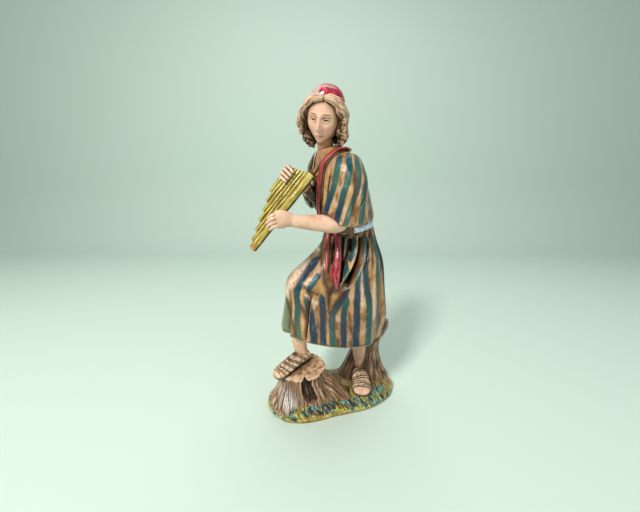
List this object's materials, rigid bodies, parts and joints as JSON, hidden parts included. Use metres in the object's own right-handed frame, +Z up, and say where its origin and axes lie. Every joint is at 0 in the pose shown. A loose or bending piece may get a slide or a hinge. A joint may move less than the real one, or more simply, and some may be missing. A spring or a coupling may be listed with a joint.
{
  "type": "presepe figure",
  "caption": "Small painted nativity figure of a young shepherd in a skullcap and striped tunic, one foot on a tree stump, holding pan pipes, cast with its grassy ground.",
  "frame": {"origin": "middle of the flat underside of the ground", "axes": "+Z up, the figure stands upright and is seen from -Y; its face and pipes turn towards -X"},
  "size_m": [0.0455, 0.0273, 0.0974],
  "materials": {
    "painted_casting": "varnished paint with a dark wash in the hollows",
    "skin_paint": "satin flesh paint with a brown wash in the hollows",
    "hair_paint": "light brown paint with a dark wash between the locks",
    "cap_paint": "glossy crimson varnish",
    "tunic_paint": "glossy striped paint in tan, blue, green and brown, with a dark wash in the folds",
    "scarf_paint": "glossy crimson paint",
    "belt_paint": "glossy pale blue paint",
    "reed_paint": "satin yellow-olive paint with dark lines between the reeds",
    "sandal_paint": "tan straps with dark brown paint between them and on the soles",
    "bark_paint": "brown paint dry-brushed with tan",
    "ground_paint": "olive and ochre paint with green grass strokes"
  },
  "bodies": {
    "root": {"shepherd_figure": "painted_casting"}
  },
  "joints": []
}
